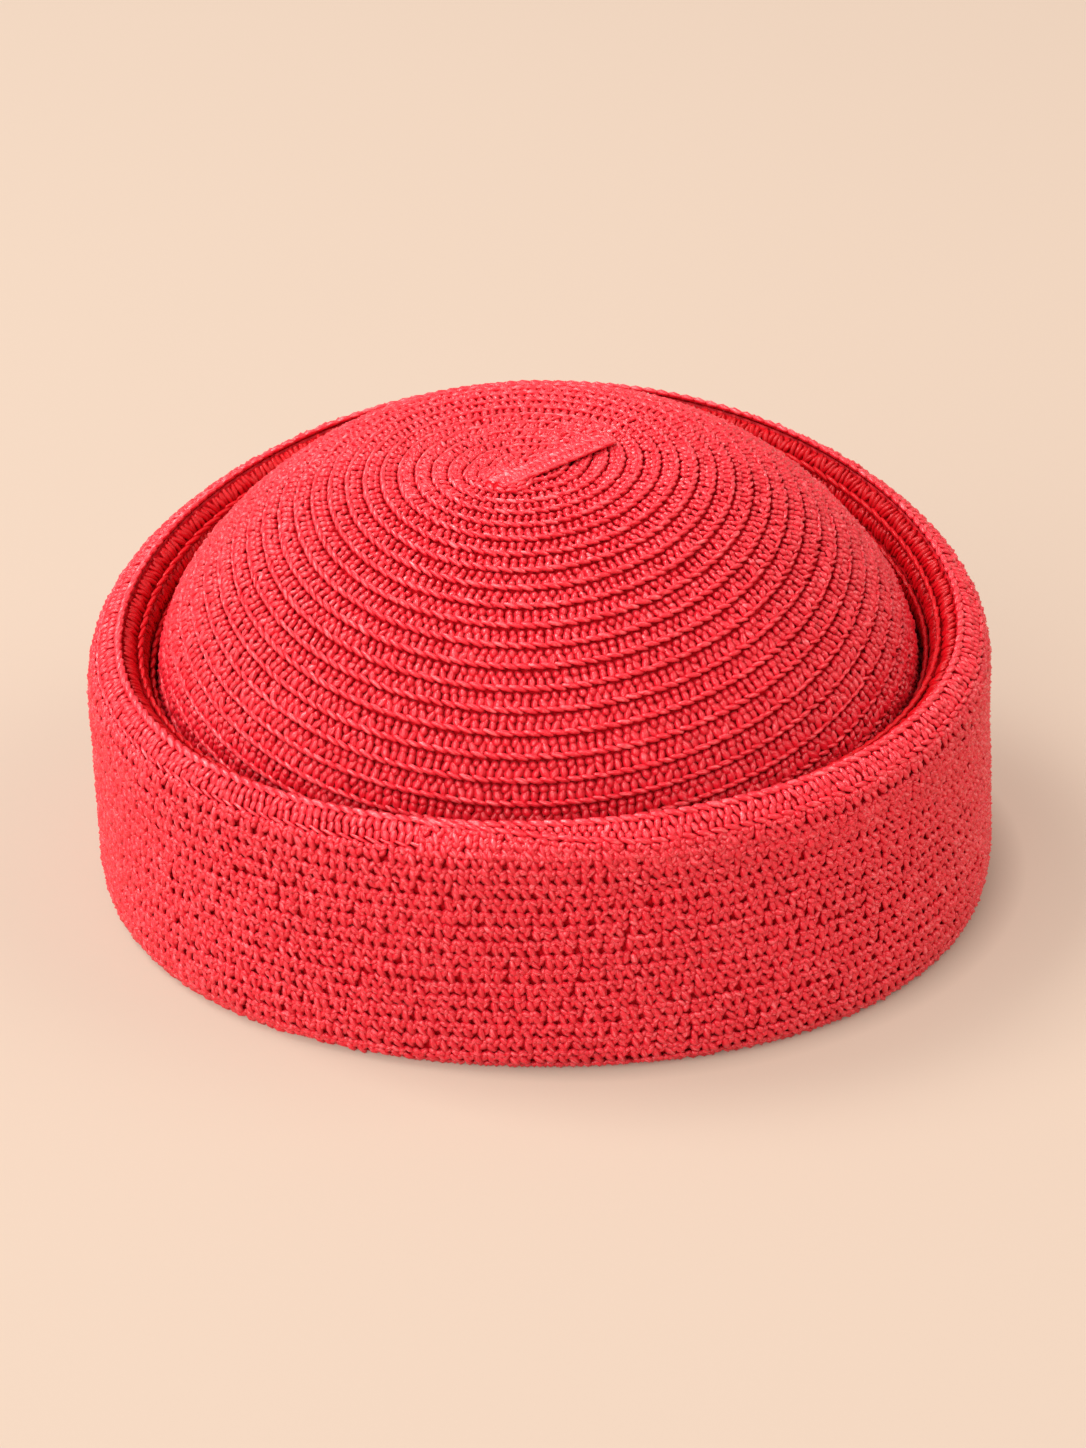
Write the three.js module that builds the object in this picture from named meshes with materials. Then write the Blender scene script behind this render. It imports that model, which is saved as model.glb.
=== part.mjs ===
// A soft hat of sewn braid: a domed crown, and a brim that is turned up and rolled in at its edge.
// Millimetres, +Z up, front towards -Y. The hat rests on the fold of its brim, at z = 0.
import * as THREE from 'three';
import { mergeVertices } from 'three/addons/utils/BufferGeometryUtils.js';

// Sizes of the whole hat
const OUTER_HALF_WIDTH = 115.25; // at the rim
const PLAN_ASPECT = 0.91; // depth over width, seen from above
const BRAID_THICKNESS = 2.2;
const SEAM_GAP = 0.3; // left between one piece and the next
const SEGMENTS = 50; // facets around the head

// Crown: the line of its braid from the top to the headline, as shares of its half width
const CROWN_HALF_WIDTH = 97.6;
const HEADLINE_SHARE = 0.985;
const HEADLINE_HEIGHT = 12;
const CROWN_LINE = [
  { share: 0, height: 117.6 },
  { share: 0.1, height: 117.8 },
  { share: 0.2, height: 118.1 },
  { share: 0.3, height: 118 },
  { share: 0.4, height: 116.8 },
  { share: 0.5, height: 113.9 },
  { share: 0.6, height: 109 },
  { share: 0.7, height: 102.2 },
  { share: 0.8, height: 93.4 },
  { share: 0.9, height: 81.6 },
  { share: 0.95, height: 73.6 },
  { share: 0.985, height: 64 },
  { share: 1, height: 52 },
  { share: 0.995, height: 32 },
  { share: HEADLINE_SHARE, height: HEADLINE_HEIGHT },
];
const WALL_TOP = 50; // below it the crown is a plain oval wall
const DOME_START = 70; // above it the rows take the start strip's shape
const BRAID_ROWS = 19; // rows that stand out as steps, from the top to behind the brim's edge
const ROWS_START = 3.4; // along the crown line, at the edge of the start strip
const ROWS_END = 134; // along the crown line, below the brim's edge
const ROW_LIFT = 0.9; // each row's lower edge stands over the next row
const ROW_TUCK = 0.1; // share of a row that the row above covers
const INSIDE_STEPS = 10; // facets of the crown's plain inside, from top to headline

// Start strip on the top of the crown, and how the first rows stretch to go around it
const STRIP = { length: 40, width: 6.6, thickness: 1.8, bevel: 0.5, sideways: 2.5, forward: 15 };
const STRIP_TURN = 42; // degrees from +X towards the back
const STRIP_TILT = -1; // degrees, down towards its end at the front
const STRIP_SEAT = 118.2; // the highest point of the crown under the strip
const ROW_STRETCH = 17; // half the extra length of the first row
const STRETCH_SHARPNESS = 3;

// Brim: each line gives the distance in from the outermost point and the height, at the mean rim
const RIM_HEIGHT = 73;
const LIP_SET_IN = OUTER_HALF_WIDTH - HEADLINE_SHARE * CROWN_HALF_WIDTH + BRAID_THICKNESS;
const BRIM_LINE = [
  { setIn: LIP_SET_IN, height: HEADLINE_HEIGHT - SEAM_GAP },
  { setIn: LIP_SET_IN - 0.5, height: 6 },
  { setIn: LIP_SET_IN - 2.3, height: 2 },
  { setIn: LIP_SET_IN - 6, height: 0 },
  { setIn: 3, height: 0 },
  { setIn: 0.5, height: 1.2 },
  { setIn: -0.6, height: 3.6 },
  { setIn: -0.8, height: 9 },
  { setIn: -0.5, height: 30 },
  { setIn: 0, height: 52 },
  { setIn: 0.1, height: 62 },
  { setIn: 0.7, height: RIM_HEIGHT - 6 - SEAM_GAP },
];
const EDGE_LINE = [
  { setIn: 0.7, height: RIM_HEIGHT - 6 },
  { setIn: 2.4, height: RIM_HEIGHT - 3 },
  { setIn: 4.8, height: RIM_HEIGHT - 0.9 },
  { setIn: 7.5, height: RIM_HEIGHT },
];
const FACING_LINE = [
  { setIn: 7.5 + SEAM_GAP, height: RIM_HEIGHT },
  { setIn: 11.4, height: RIM_HEIGHT - 3.7 },
  { setIn: 12.4, height: RIM_HEIGHT - 3 },
  { setIn: 14.2, height: RIM_HEIGHT - 7.9 },
  { setIn: 15, height: RIM_HEIGHT - 7.5 },
  { setIn: 15.3, height: RIM_HEIGHT - 13.5 },
];

// The rim rises towards the back: two waves around the head, counted from the front towards +X
const RIM_WAVES = [
  { turns: 1, cosine: -12.6, sine: 2.7 },
  { turns: 2, cosine: 4.2, sine: 0.1 },
];
const RISE_START = 12; // heights between which the rim's rise and lean grow from none to all
const RISE_END = 50;
const FOLD_CENTRE = 0.45; // the fold and the rim lie a little to either side of the middle
const LEAN = 1.7; // how far the rim and the crown sit towards -X over the fold
const FOLD_FULLNESS = 0.022; // how much the fold fills out between its sides and its front and back

const BRAID_LOOKS = { roughness: 0.85, metalness: 0 };
const COLOURS = {
  crown: 0xdb3a44,
  crown_tip: 0xe04550,
  brim_wall: 0xd83640,
  edge_braid: 0xe04550,
  brim_facing: 0xc22b37,
};

// A closed section for a strip of braid: its outside line, and the same line one thickness inside.
// The two cuts are the directions straight through the wall at the line's ends.
function braidSection(line, startCut, endCut) {
  const outside = line.map((p) => new THREE.Vector2(OUTER_HALF_WIDTH - p.setIn, p.height));
  const last = outside.length - 1;
  const inside = outside.map((point, i) => {
    const before = outside[Math.max(i - 1, 0)];
    const after = outside[Math.min(i + 1, last)];
    const way = after.clone().sub(before).normalize();
    const through = new THREE.Vector2(-way.y, way.x);
    if (i === 0) through.copy(startCut);
    if (i === last) through.copy(endCut);
    return point.clone().addScaledVector(through, BRAID_THICKNESS);
  });
  return [...outside, ...inside.reverse(), outside[0].clone()];
}

// A section turned around the head's axis, with one vertex at each corner
function turned(section) {
  const geometry = new THREE.LatheGeometry(section, SEGMENTS);
  geometry.deleteAttribute('normal');
  geometry.deleteAttribute('uv');
  geometry.rotateX(Math.PI / 2);
  return mergeVertices(geometry, 1e-3);
}

// Every corner of a geometry moved by a function that changes its point
function reshaped(geometry, change) {
  const position = geometry.getAttribute('position');
  const point = new THREE.Vector3();
  for (let i = 0; i < position.count; i++) {
    change(point.fromBufferAttribute(position, i));
    position.setXYZ(i, point.x, point.y, point.z);
  }
  return geometry;
}

// How far a height has come from the flat fold, 0, to the free rim, 1
function aboveFold(height) {
  return THREE.MathUtils.clamp((height - RISE_START) / (RISE_END - RISE_START), 0, 1);
}

// The soft hat settled on its fold: the fold fills out, and what stands above it leans
function settle(point, free) {
  const angle = Math.atan2(point.x, -point.y);
  const fullness = 1 + FOLD_FULLNESS * (1 - free) * Math.sin(2 * angle) ** 2;
  point.x = point.x * fullness + FOLD_CENTRE - LEAN * free;
  point.y *= fullness;
}

// Brim pieces: narrower from front to back, with the rim higher at the back than at the front
function shapeBrim(point) {
  const angle = Math.atan2(point.x, -point.y);
  const waves = RIM_WAVES.map(
    (wave) => wave.cosine * Math.cos(wave.turns * angle) + wave.sine * Math.sin(wave.turns * angle),
  );
  const rise = waves.reduce((sum, wave) => sum + wave, 0);
  const free = aboveFold(point.z);
  point.y *= PLAN_ASPECT;
  point.z += rise * free;
  settle(point, free);
}

// The crown's line as a smooth curve, and the height of the dome at a distance from its axis
const crownCurve = new THREE.SplineCurve(
  CROWN_LINE.map((p) => new THREE.Vector2(p.share * CROWN_HALF_WIDTH, p.height)),
);
const domeRows = CROWN_LINE.filter((p) => p.height > WALL_TOP);

function domeHeight(radius) {
  const share = radius / CROWN_HALF_WIDTH;
  const after = domeRows.findIndex((p) => p.share >= share);
  if (after < 0) return domeRows.at(-1).height;
  const low = domeRows[Math.max(after - 1, 0)];
  const high = domeRows[Math.max(after, 1)];
  return THREE.MathUtils.mapLinear(share, low.share, high.share, low.height, high.height);
}

// Crown rows: long around the start strip, which lies towards the front, and oval lower down
const stripTurn = THREE.MathUtils.degToRad(STRIP_TURN);

function shapeCrown(point) {
  const radius = Math.hypot(point.x, point.y);
  const onDome = THREE.MathUtils.smoothstep(point.z, WALL_TOP, DOME_START);
  const fade = onDome * Math.max(1 - radius / CROWN_HALF_WIDTH, 0);
  const facing = radius && (point.x * Math.cos(stripTurn) + point.y * Math.sin(stripTurn)) / radius;
  const stretch = ROW_STRETCH * fade ** 2 * Math.tanh(STRETCH_SHARPNESS * facing);
  point.x += stretch * Math.cos(stripTurn) + STRIP.sideways * fade;
  point.y = PLAN_ASPECT * point.y + stretch * Math.sin(stripTurn) - STRIP.forward * fade;
  if (fade > 0) {
    point.z += domeHeight(Math.hypot(point.x, point.y / PLAN_ASPECT)) - domeHeight(radius);
  }
  settle(point, aboveFold(point.z));
}

// The crown's section: the plain inside going down, then the stepped rows of braid going up
function crownSection() {
  const length = crownCurve.getLength();
  const skin = (along, lift) => {
    const way = crownCurve.getTangentAt(along / length);
    const out = new THREE.Vector2(-way.y, way.x);
    return crownCurve.getPointAt(along / length).addScaledVector(out, lift);
  };
  const inside = [];
  for (let i = 0; i <= INSIDE_STEPS; i++) {
    inside.push(skin((i / INSIDE_STEPS) * length, -BRAID_THICKNESS));
  }
  inside[0].x = 0;
  inside.at(-1).y = HEADLINE_HEIGHT;
  const outside = [new THREE.Vector2(0, CROWN_LINE[0].height), skin(ROWS_START, 0)];
  const pitch = (ROWS_END - ROWS_START) / BRAID_ROWS;
  for (let row = 0; row < BRAID_ROWS; row++) {
    const top = ROWS_START + row * pitch;
    if (row) outside.push(skin(top + ROW_TUCK * pitch, 0));
    outside.push(skin(top + pitch, ROW_LIFT));
  }
  outside.push(skin(ROWS_END + ROW_TUCK * pitch, 0), skin(length, 0));
  outside.at(-1).y = HEADLINE_HEIGHT;
  return [...inside, ...outside.reverse()];
}

// The start strip: a bar with round ends, lying on the flat top of the crown
function stripGeometry() {
  const half = STRIP.length / 2 - STRIP.width / 2;
  const end = STRIP.width / 2 - STRIP.bevel;
  const outline = new THREE.Shape();
  outline.absarc(half, 0, end, -Math.PI / 2, Math.PI / 2, false);
  outline.absarc(-half, 0, end, Math.PI / 2, (3 * Math.PI) / 2, false);
  const geometry = new THREE.ExtrudeGeometry(outline, {
    depth: STRIP.thickness - 2 * STRIP.bevel,
    bevelSize: STRIP.bevel,
    bevelThickness: STRIP.bevel,
    bevelSegments: 1,
    curveSegments: 8,
  });
  geometry.deleteAttribute('normal');
  geometry.deleteAttribute('uv');
  return mergeVertices(geometry, 1e-3);
}

const inwards = new THREE.Vector2(-1, 0);
const outwards = new THREE.Vector2(1, 0);
const downwards = new THREE.Vector2(0, -1);
const shapes = {
  crown: reshaped(turned(crownSection()), shapeCrown),
  crown_tip: stripGeometry(),
  brim_wall: reshaped(turned(braidSection(BRIM_LINE, outwards, inwards)), shapeBrim),
  edge_braid: reshaped(turned(braidSection(EDGE_LINE, inwards, downwards)), shapeBrim),
  brim_facing: reshaped(turned(braidSection(FACING_LINE, downwards, outwards)), shapeBrim),
};

const hat = new THREE.Group();
for (const [name, geometry] of Object.entries(shapes)) {
  const looks = new THREE.MeshStandardMaterial({ color: COLOURS[name], ...BRAID_LOOKS });
  const piece = new THREE.Mesh(geometry, looks);
  piece.name = name;
  hat.add(piece);
}

const strip = hat.getObjectByName('crown_tip');
const stripMiddle = FOLD_CENTRE - LEAN + STRIP.sideways;
strip.position.set(stripMiddle, -STRIP.forward, STRIP_SEAT + SEAM_GAP + STRIP.bevel);
strip.rotation.set(0, THREE.MathUtils.degToRad(STRIP_TILT), stripTurn, 'ZYX');

export default hat;
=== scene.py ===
# %% [markdown]
# # A soft hat of crocheted braid
# This lesson dresses a plain model of a hat with its stitches. The hat is one long braid, sewn
# round and round into a dome, with a brim of closer stitches that is turned up and rolled in.
# The plain model gives the shape. Each stitch is a small grain of yarn, laid on that shape.

# %% Load the plain model
import math

import bmesh
import bpy
import numpy as np
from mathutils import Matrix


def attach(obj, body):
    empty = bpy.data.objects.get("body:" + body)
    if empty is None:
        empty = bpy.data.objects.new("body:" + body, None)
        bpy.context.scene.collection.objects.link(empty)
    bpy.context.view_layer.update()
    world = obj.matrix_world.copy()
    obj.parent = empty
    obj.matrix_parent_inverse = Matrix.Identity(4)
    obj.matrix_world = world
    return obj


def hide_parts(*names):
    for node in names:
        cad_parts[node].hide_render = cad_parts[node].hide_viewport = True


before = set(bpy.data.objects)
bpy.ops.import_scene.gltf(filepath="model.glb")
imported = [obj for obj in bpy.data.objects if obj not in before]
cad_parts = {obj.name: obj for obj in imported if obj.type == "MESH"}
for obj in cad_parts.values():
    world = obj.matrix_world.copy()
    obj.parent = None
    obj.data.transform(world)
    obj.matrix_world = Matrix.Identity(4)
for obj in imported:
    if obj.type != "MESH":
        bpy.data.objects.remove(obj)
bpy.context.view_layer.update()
print("plain pieces:", sorted(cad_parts))

# %% [markdown]
# ## The camera
# A long lens from a little above the hat keeps the brim's oval calm, as in a catalogue picture.
# The camera could be placed and then aimed, but on a circle round its target one angle gives both
# its place and its tilt. Its lens follows from a focal length in pixels.

# %% Camera
MM = 0.001
NEAREST = 0.01
IMAGE_HEIGHT = 1448
FOCAL_PIXELS = 3903.1
SENSOR = 36.0
CAMERA_RISE = math.radians(29.16)
CAMERA_DISTANCE = 1020
CAMERA_TARGET = (-0.21, 0, 37.28)

camera_data = bpy.data.cameras.new("camera")
camera_data.sensor_width = SENSOR
camera_data.lens = FOCAL_PIXELS * SENSOR / IMAGE_HEIGHT
camera_data.clip_start = NEAREST
camera = bpy.data.objects.new("camera", camera_data)
bpy.context.scene.collection.objects.link(camera)
camera.location = (
    CAMERA_TARGET[0] * MM,
    (CAMERA_TARGET[1] - CAMERA_DISTANCE * math.cos(CAMERA_RISE)) * MM,
    (CAMERA_TARGET[2] + CAMERA_DISTANCE * math.sin(CAMERA_RISE)) * MM,
)
camera.rotation_euler = (math.pi / 2 - CAMERA_RISE, 0, 0)
bpy.context.scene.camera = camera
print("lens, mm:", round(camera_data.lens, 2))

# %% [markdown]
# ## The lines of the hat
# Three lines carry the whole hat: the crown's, from its top down to the headline, the brim's, from
# its crest out and down to the fold, and the rolled-in edge's, from the crest in and down. They
# could be traced from the plain model's mesh, but the same sizes give a smooth line at any step.
# Softening a line rounds its corners a little, which soft braid does by itself.

# %% A line of braid
OUTER_HALF_WIDTH = 115.25
CROWN_HALF_WIDTH = 97.6
RIM_HEIGHT = 73
EDGE_FOOT = RIM_HEIGHT - 6.1
LIP_SET_IN = 21.3
STEP = 0.5
CROWN_SOFTENING, BRIM_SOFTENING, FACING_SOFTENING = 30, 6, 1


def worked_line(points, soften):
    """A line through points at equal steps, with its corners softened."""
    points = np.array(points, float)
    run = np.concatenate([[0], np.cumsum(np.hypot(*np.diff(points, axis=0).T))])
    at = np.append(np.arange(0, run[-1], STEP), run[-1])
    line = np.column_stack([np.interp(at, run, points[:, 0]), np.interp(at, run, points[:, 1])])
    for _ in range(soften):
        line[1:-1] = (line[:-2] + 2 * line[1:-1] + line[2:]) / 4
    return line


def set_in(rows):
    """Points of a brim line, from distances in from the widest point and heights."""
    return [(OUTER_HALF_WIDTH - inwards, height) for inwards, height in rows]


CROWN_SHARES = [
    (0, 117.6), (0.1, 117.8), (0.2, 118.1), (0.3, 118), (0.4, 116.8), (0.5, 113.9), (0.6, 109),
    (0.7, 102.2), (0.8, 93.4), (0.9, 81.6), (0.95, 73.6), (0.985, 64), (1, 52), (0.995, 32), (0.985, 12),
]
EDGE_ROWS = [(7.5, RIM_HEIGHT), (4.8, RIM_HEIGHT - 0.9), (2.4, RIM_HEIGHT - 3), (0.7, RIM_HEIGHT - 6)]
WALL_ROWS = [
    (0.7, RIM_HEIGHT - 6.3), (0.1, 62), (0, 52), (-0.5, 30), (-0.8, 9), (-0.6, 3.6), (0.5, 1.2), (3, 0),
    (LIP_SET_IN - 6, 0), (LIP_SET_IN - 2.3, 2), (LIP_SET_IN - 0.5, 6), (LIP_SET_IN, 11.7),
]
FACING_ROWS = [
    (7.8, RIM_HEIGHT), (11.4, RIM_HEIGHT - 3.7), (12.4, RIM_HEIGHT - 3), (14.2, RIM_HEIGHT - 7.9),
    (15, RIM_HEIGHT - 7.5), (15.3, RIM_HEIGHT - 13.5),
]
crown_points = [(share * CROWN_HALF_WIDTH, height) for share, height in CROWN_SHARES]
crown_line = worked_line(crown_points, CROWN_SOFTENING)
brim_line = worked_line(set_in(EDGE_ROWS + WALL_ROWS), BRIM_SOFTENING)
facing_line = worked_line(set_in(FACING_ROWS), FACING_SOFTENING)
print("lines, mm:", len(crown_line) * STEP, len(brim_line) * STEP, len(facing_line) * STEP)

# %% [markdown]
# ## How the soft hat settles
# A turned line gives a perfect bowl, and the real hat isn't one. It is oval, its rim rises towards
# the back, its fold fills out where it rests, and its rows have their middle in front of the top.
# These are smooth moves of every point, so they are plain functions on arrays.

# %% The moves
PLAN_ASPECT = 0.91
FOLD_CENTRE = 0.45
LEAN = 1.7
FOLD_FULLNESS = 0.022
RISE_START, RISE_END = 12, 50
RIM_WAVES = [{"waves": 1, "cosine": -12.6, "sine": 2.7}, {"waves": 2, "cosine": 4.2, "sine": 0.1}]
WALL_TOP, DOME_START = 50, 70
STRIP_TURN = math.radians(42)
ROWS_SIDEWAYS, ROWS_FORWARD = -3, 14
ROW_STRETCH = 7
STRETCH_SHARPNESS = 3
dome_line = crown_line[: crown_line[:, 0].argmax() + 1]


def eased(share):
    """A share from 0 to 1 that starts and ends softly."""
    return share * share * (3 - 2 * share)


def freed(z):
    """From 0, at the flat fold, to 1, at the free rim."""
    return np.clip((z - RISE_START) / (RISE_END - RISE_START), 0, 1)


def settled(x, y, z):
    """The fold fills out, and what stands above it leans."""
    free = freed(z)
    angle = np.arctan2(x, -y)
    fullness = 1 + FOLD_FULLNESS * (1 - free) * np.sin(2 * angle) ** 2
    return np.stack([x * fullness + FOLD_CENTRE - LEAN * free, y * fullness, z], axis=-1)


def shaped_brim(x, y, z):
    """An oval brim with its rim higher at the back."""
    angle = np.arctan2(x, -y)
    rise = 0
    for wave in RIM_WAVES:
        turns = wave["waves"] * angle
        rise = rise + wave["cosine"] * np.cos(turns) + wave["sine"] * np.sin(turns)
    return settled(x, PLAN_ASPECT * y, z + rise * freed(z))


def dome_height(radius):
    """Height of the dome at a distance from its axis."""
    return np.interp(radius, dome_line[:, 0], dome_line[:, 1])


def shaped_crown(x, y, z):
    """An oval crown whose first rows run round the start of the braid, in front of the top."""
    radius = np.hypot(x, y)
    ramp = np.clip((z - WALL_TOP) / (DOME_START - WALL_TOP), 0, 1)
    fade = eased(ramp) * np.clip(1 - radius / CROWN_HALF_WIDTH, 0, 1)
    way = (math.cos(STRIP_TURN), math.sin(STRIP_TURN))
    facing = (x * way[0] + y * way[1]) / np.maximum(radius, 1e-6)
    stretch = ROW_STRETCH * fade ** 2 * np.tanh(STRETCH_SHARPNESS * facing)
    new_x = x + stretch * way[0] + ROWS_SIDEWAYS * fade
    new_y = PLAN_ASPECT * y + stretch * way[1] - ROWS_FORWARD * fade
    moved = dome_height(np.hypot(new_x, new_y / PLAN_ASPECT)) - dome_height(radius)
    return settled(new_x, new_y, z + np.where(fade > 0, moved, 0))


print("dome from 0 to", dome_line[-1, 0].round(1), "mm off the axis")

# %% [markdown]
# ## A skin to sew on
# To lay a stitch, one needs a place on the cloth and three directions there: along the row, down
# the cloth, and out of it. A ray cast on the mesh would find them, one stitch at a time. A table of
# points over angles and distances is quicker, because all the stitches can read it at once. On the
# brim the distance is measured straight down the cloth. On the crown it is the shortest way from
# the first row, because the braid has one width, so that every row is as far from it all round.

# %% The skins
ANGLE_STEPS = 720
ANGLES = np.linspace(0, 2 * np.pi, ANGLE_STEPS + 1)
RING_STEPS, RING_REACH = 8, 24
END_ROOM, END_REACH = 9, 22
LEAST_RISE = 0.001
BEFORE_LAST = 1.001


def unit(vectors):
    """The same directions, one long."""
    return vectors / np.maximum(np.linalg.norm(vectors, axis=-1, keepdims=True), 1e-9)


def down_the_cloth(points):
    """Millimetres from the top edge, straight down the cloth."""
    gaps = np.linalg.norm(np.diff(points, axis=1), axis=-1)
    return np.concatenate([np.zeros((len(points), 1)), np.cumsum(gaps, axis=1)], axis=1)


def from_first_row(points):
    """Millimetres from the first row, by the shortest way. Rows lie closer at the start strip's ends."""
    rings = points[:-1, ::RING_STEPS]
    far = np.zeros(rings.shape[:2])
    for index in range(1, rings.shape[1]):
        ways = [
            np.roll(far[:, index - 1], turn)
            + np.linalg.norm(rings[:, index] - np.roll(rings[:, index - 1], turn, axis=0), axis=1)
            for turn in range(-RING_REACH, RING_REACH + 1)
        ]
        far[:, index] = np.min(ways, axis=0)
    steps = np.arange(points.shape[1]) / RING_STEPS
    filled = [np.interp(steps, np.arange(len(row)), row) for row in far]
    run = np.array(filled + filled[:1])
    endwise = np.sin(ANGLES - STRIP_TURN)[:, None] ** 2
    return np.maximum(run - END_ROOM * endwise * np.exp(-run / END_REACH), LEAST_RISE * run)


class Skin:
    """A surface as a table of points, one row an angle and one column a step down from its top."""

    def __init__(self, line, shaped, measure, side=1):
        self.side = side
        x = np.outer(np.sin(ANGLES), line[:, 0])
        y = -np.outer(np.cos(ANGLES), line[:, 0])
        points = shaped(x, y, np.broadcast_to(line[:, 1], x.shape))
        points = self.stepped(points, measure(points))
        loop = np.concatenate([points[-2:-1], points, points[1:2]])
        along = (loop[2:] - loop[:-2]) / (2 * ANGLES[1])
        down = np.gradient(points, STEP, axis=1)
        out = side * unit(np.cross(unit(down), unit(along)))
        self.table = np.concatenate([points, along, down, out], axis=-1)

    def stepped(self, points, run):
        """The same surface at equal steps of a distance."""
        self.reach = run[:, -1]
        at = np.arange(0, self.reach.max(), STEP)
        lines = zip(run, points)
        columns = [[np.interp(at, far, axis) for axis in places.T] for far, places in lines]
        return np.array(columns).transpose(0, 2, 1)

    def spot(self, down, angle):
        """Place, along, down and out at some spots."""
        line_at = np.mod(angle, 2 * np.pi) / ANGLES[1]
        step_at = np.clip(down / STEP, 0, self.table.shape[1] - BEFORE_LAST)
        line = np.minimum(line_at.astype(int), ANGLE_STEPS - 1)
        step = step_at.astype(int)
        turned = (line_at - line)[:, None]
        lowered = (step_at - step)[:, None]
        above = self.table[line, step] * (1 - turned) + self.table[line + 1, step] * turned
        below = self.table[line, step + 1] * (1 - turned) + self.table[line + 1, step + 1] * turned
        row = above * (1 - lowered) + below * lowered
        along, out = unit(row[:, 3:6]), unit(row[:, 9:])
        return {"place": row[:, :3], "along": along, "down": self.side * np.cross(along, out), "out": out}


crown_skin = Skin(crown_line, shaped_crown, from_first_row)
brim_skin = Skin(brim_line, shaped_brim, down_the_cloth)
facing_skin = Skin(facing_line, shaped_brim, down_the_cloth, side=-1)
print("brim from crest to lip, mm:", brim_skin.reach.min().round(1), "to", brim_skin.reach.max().round(1))

# %% [markdown]
# ## Shader maths as Python
# Node trees get long when each sum is a node made by hand. This class holds one output socket, and
# its operators add the Math nodes. Every other node comes from its one method, make.

# %% One class for sockets


class Strand:
    """An output socket of a material, with maths on it written as Python."""

    def __init__(self, tree, socket=None):
        self.tree = tree
        self.socket = socket

    def make(self, kind, settings=None, inputs=None, output=0):
        """Adds any node: its settings first, then the values or links of its sockets."""
        node = self.tree.nodes.new(kind)
        for name, value in (settings or {}).items():
            setattr(node, name, value)
        for name, value in (inputs or {}).items():
            if isinstance(value, Strand):
                self.tree.links.new(value.socket, node.inputs[name])
            else:
                node.inputs[name].default_value = value
        return Strand(self.tree, node.outputs[output] if node.outputs else None)

    def maths(self, operation, first, second=0.0):
        """One sum of sockets or numbers."""
        return self.make("ShaderNodeMath", {"operation": operation}, {0: first, 1: second})

    def __add__(self, other):
        return self.maths("ADD", self, other)

    def __radd__(self, other):
        return self.maths("ADD", other, self)

    def __sub__(self, other):
        return self.maths("SUBTRACT", self, other)

    def __rsub__(self, other):
        return self.maths("SUBTRACT", other, self)

    def __mul__(self, other):
        return self.maths("MULTIPLY", self, other)

    def __rmul__(self, other):
        return self.maths("MULTIPLY", other, self)

    def held(self):
        """The value held between 0 and 1."""
        return self.make("ShaderNodeClamp", inputs={"Value": self})

    def mixed(self, low, high):
        """A colour between two others, by this value."""
        return self.make("ShaderNodeMix", {"data_type": "RGBA"}, {0: self, 6: low, 7: high}, output=2)


def new_material(name):
    """A material, its shader, and a maker of nodes for it."""
    material = bpy.data.materials.new(name)
    material.use_nodes = True
    return material, material.node_tree.nodes["Principled BSDF"], Strand(material.node_tree)


print("socket class ready")

# %% [markdown]
# ## The yarn
# The hat is one dyed yarn, a matt paper-like coral red with a soft sheen and fine fibres along it.
# Each stitch carries two attributes: its tone, lighter on its back and darker towards its root as
# painted shade, and its own yarn coordinates, so that the fibres run along every stitch, whichever
# way it lies. Pale flecks on its fibres, more on the back of each stitch, are painted highlights. The
# inner side of the rolled-in edge gets a deeper, duller copy of the yarn, as painted shade.

# %% Yarn material
FIBRE_STRETCH = (0.4, 2.0, 1)
PATCH_SCALE = 45.0
FIBRE_CONTRAST, PATCH_CONTRAST = 0.9, 0.35
GLINTS_FROM, GLINT_SHARPNESS, GLINT_SHARE = 0.54, 6.0, 0.5
MIDDLE_TONE, GLINTS_BY_TONE = 0.75, 0.6
ROUGHEST, FIBRE_SHINE = 0.48, 0.28


def yarn_material(name, deep, light, glint_colour, gloss):
    """Dyed yarn from deep to light, with pale flecks of painted highlight on its fibres, more where its tone
    is high.
    """
    material, shader, tool = new_material(name)
    tone = tool.make("ShaderNodeAttribute", {"attribute_name": "tone"}, output=2)
    lay = tool.make("ShaderNodeAttribute", {"attribute_name": "yarn"}, output=1)
    stretched = tool.make("ShaderNodeVectorMath", {"operation": "MULTIPLY"}, {0: lay, 1: FIBRE_STRETCH})
    fibre = tool.make("ShaderNodeTexNoise", inputs={"Vector": stretched, "Scale": 1.0, "Detail": 3.0})
    where = tool.make("ShaderNodeTexCoord", output=3)
    patch = tool.make("ShaderNodeTexNoise", inputs={"Vector": where, "Scale": PATCH_SCALE, "Detail": 2.0})
    shade = (tone + (fibre - 0.5) * FIBRE_CONTRAST + (patch - 0.5) * PATCH_CONTRAST).held()
    # Painted highlight: pale flecks where the fibre noise is high, more where the tone is high, on each
    # stitch's back.
    glint_fibre = fibre + (tone - MIDDLE_TONE) * GLINTS_BY_TONE - GLINTS_FROM
    painted_glints = (glint_fibre * GLINT_SHARPNESS).held() * GLINT_SHARE
    colour = painted_glints.mixed(shade.mixed(deep, light), glint_colour)
    bump = tool.make("ShaderNodeBump", inputs={"Strength": 0.6, "Distance": 0.0006, "Height": fibre})
    rough = ROUGHEST - fibre * FIBRE_SHINE
    tool.tree.links.new(colour.socket, shader.inputs["Base Color"])
    tool.tree.links.new(rough.socket, shader.inputs["Roughness"])
    tool.tree.links.new(bump.socket, shader.inputs["Normal"])
    shader.inputs["Sheen Weight"].default_value = 0.1 * gloss
    shader.inputs["Sheen Roughness"].default_value = 0.45
    shader.inputs["Sheen Tint"].default_value = (1, 0.72, 0.7, 1)
    shader.inputs["Specular IOR Level"].default_value = gloss
    return material


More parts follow.
